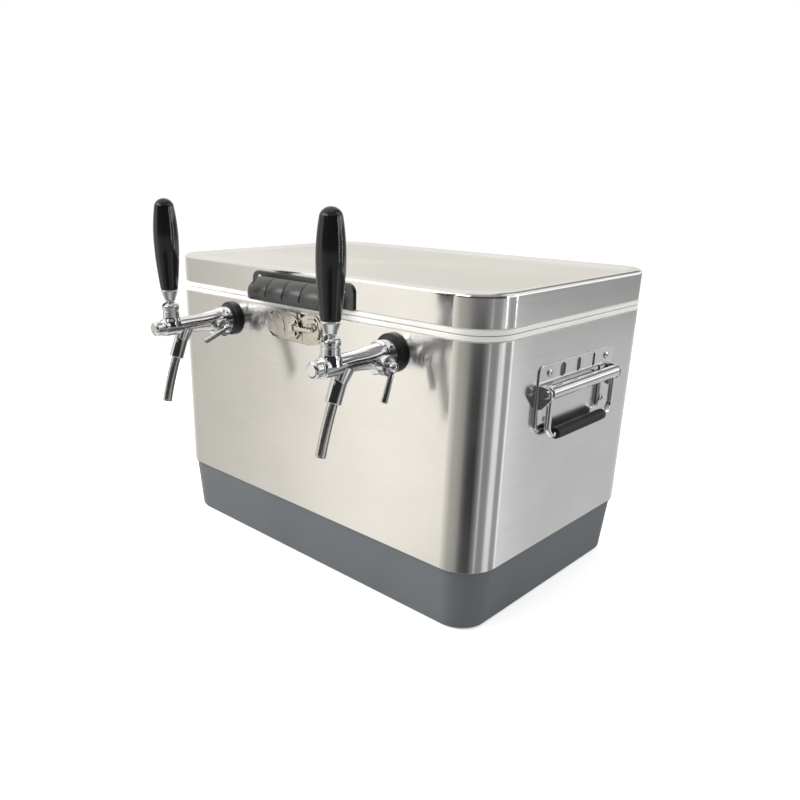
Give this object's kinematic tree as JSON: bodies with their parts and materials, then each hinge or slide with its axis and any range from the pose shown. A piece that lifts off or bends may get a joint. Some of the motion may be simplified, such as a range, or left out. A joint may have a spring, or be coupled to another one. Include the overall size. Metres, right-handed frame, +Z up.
{
  "type": "jockey box beer cooler",
  "caption": "Insulated steel-clad cooler box with beer taps on its front, cooling coils inside, a hinged lid with a turn catch, and folding side handles.",
  "frame": {"origin": "centre of the underside of the base, on the floor", "axes": "+X to the right of someone facing the taps, -Y out of the front where the taps are, +Z up"},
  "size_m": [0.641, 0.5525, 0.5105],
  "materials": {
    "grey_base": "satin",
    "foam": "matte",
    "brushed_stainless": "satin",
    "white_plastic": "satin",
    "grey_rubber": "matte",
    "grip_plastic": "satin",
    "handle_black": "gloss",
    "black_plastic": "satin",
    "black_rubber": "matte",
    "nickel": "satin",
    "plain_brass": "satin",
    "tube_stainless": "polished",
    "hinge_steel": "satin",
    "chrome_plate": "polished"
  },
  "bodies": {
    "box": {"base_tub": "grey_base", "body_foam": "foam", "body_wrap": "brushed_stainless", "inner_liner": "white_plastic", "left_flange": "black_plastic", "right_flange": "black_plastic", "left_shank": "tube_stainless", "right_shank": "tube_stainless", "left_tap_body": "chrome_plate", "right_tap_body": "chrome_plate", "left_front_cap": "chrome_plate", "right_front_cap": "chrome_plate", "left_nozzle": "tube_stainless", "right_nozzle": "tube_stainless", "left_coil": "tube_stainless", "right_coil": "tube_stainless", "locknuts": "plain_brass", "coil_nuts": "plain_brass", "left_inlet_shank": "tube_stainless", "right_inlet_shank": "tube_stainless", "inlet_nuts": "plain_brass", "inlet_washers": "black_rubber", "drain_fitting": "white_plastic", "drain_washer": "black_rubber", "drain_nut": "white_plastic", "hinge_body_leaves": "hinge_steel", "hinge_pins": "hinge_steel", "hinge_body_rivets": "hinge_steel", "catch_plate": "nickel", "catch_rivets": "nickel", "left_handle_plate": "chrome_plate", "right_handle_plate": "chrome_plate", "handle_pins": "chrome_plate", "handle_screws": "chrome_plate"},
    "lid": {"hinge_lid_leaves": "hinge_steel", "hinge_lid_rivets": "hinge_steel", "lid_skin": "brushed_stainless", "lid_foam": "foam", "lid_pan": "white_plastic", "lid_gasket": "grey_rubber", "lid_grip": "grip_plastic", "grip_screws": "chrome_plate", "lid_strike": "nickel"},
    "left_tap_lever": {"left_lever": "chrome_plate", "left_tap_handle": "handle_black"},
    "right_tap_lever": {"right_lever": "chrome_plate", "right_tap_handle": "handle_black"},
    "left_tap_plunger": {"left_plunger": "plain_brass"},
    "right_tap_plunger": {"right_plunger": "plain_brass"},
    "left_flow_control": {"left_flow_lever": "chrome_plate"},
    "right_flow_control": {"right_flow_lever": "chrome_plate"},
    "catch_wing": {"catch_turn": "nickel"},
    "catch_slide": {"catch_tongue": "nickel"},
    "left_carry_handle": {"left_bail": "chrome_plate", "left_bail_grip": "black_rubber"},
    "right_carry_handle": {"right_bail": "chrome_plate", "right_bail_grip": "black_rubber"},
    "drain_stopper": {"drain_plug": "white_plastic"}
  },
  "joints": [
    {"name": "lid_hinge", "type": "hinge", "parent": "box", "child": "lid", "pos_m": [0, 0.20295, 0.3769], "axis": [-1, 0, 0], "range_deg": [0, 95]},
    {"name": "left_tap_lever_pull", "type": "hinge", "parent": "box", "child": "left_tap_lever", "pos_m": [-0.15, -0.30075, 0.362], "axis": [1, 0, 0], "range_deg": [0, 38]},
    {"name": "left_plunger_slide", "type": "slide", "parent": "box", "child": "left_tap_plunger", "axis": [0, 1, 0], "range_m": [0, 0.0135]},
    {"name": "left_flow_turn", "type": "hinge", "parent": "box", "child": "left_flow_control", "pos_m": [-0.15, -0.22875, 0.334], "axis": [1, 0, 0], "range_deg": [-39, 71]},
    {"name": "right_tap_lever_pull", "type": "hinge", "parent": "box", "child": "right_tap_lever", "pos_m": [0.164, -0.30075, 0.362], "axis": [1, 0, 0], "range_deg": [0, 38]},
    {"name": "right_plunger_slide", "type": "slide", "parent": "box", "child": "right_tap_plunger", "axis": [0, 1, 0], "range_m": [0, 0.0135]},
    {"name": "right_flow_turn", "type": "hinge", "parent": "box", "child": "right_flow_control", "pos_m": [0.164, -0.22875, 0.334], "axis": [1, 0, 0], "range_deg": [-90, 20]},
    {"name": "catch_turn_hinge", "type": "hinge", "parent": "box", "child": "catch_wing", "pos_m": [-0.012, -0.2, 0.3478], "axis": [0, 1, 0], "range_deg": [0, 180]},
    {"name": "catch_tongue_slide", "type": "slide", "parent": "box", "child": "catch_slide", "axis": [0, 0, 1], "range_m": [0, 0.0081]},
    {"name": "left_carry_swing", "type": "hinge", "parent": "box", "child": "left_carry_handle", "pos_m": [-0.3115, 0.003, 0.298], "axis": [0, 1, 0], "range_deg": [0, 90]},
    {"name": "right_carry_swing", "type": "hinge", "parent": "box", "child": "right_carry_handle", "pos_m": [0.3115, 0.003, 0.298], "axis": [0, -1, 0], "range_deg": [0, 90]},
    {"name": "drain_plug_slide", "type": "slide", "parent": "box", "child": "drain_stopper", "axis": [-1, 0, 0], "range_m": [0, 0.035]}
  ],
  "couplings": [
    {"joint": "left_plunger_slide", "follows": "left_tap_lever_pull", "m_per_rad": 0.02},
    {"joint": "right_plunger_slide", "follows": "right_tap_lever_pull", "m_per_rad": 0.02},
    {"joint": "catch_tongue_slide", "follows": "catch_turn_hinge", "m_per_rad": 0.0025465}
  ]
}
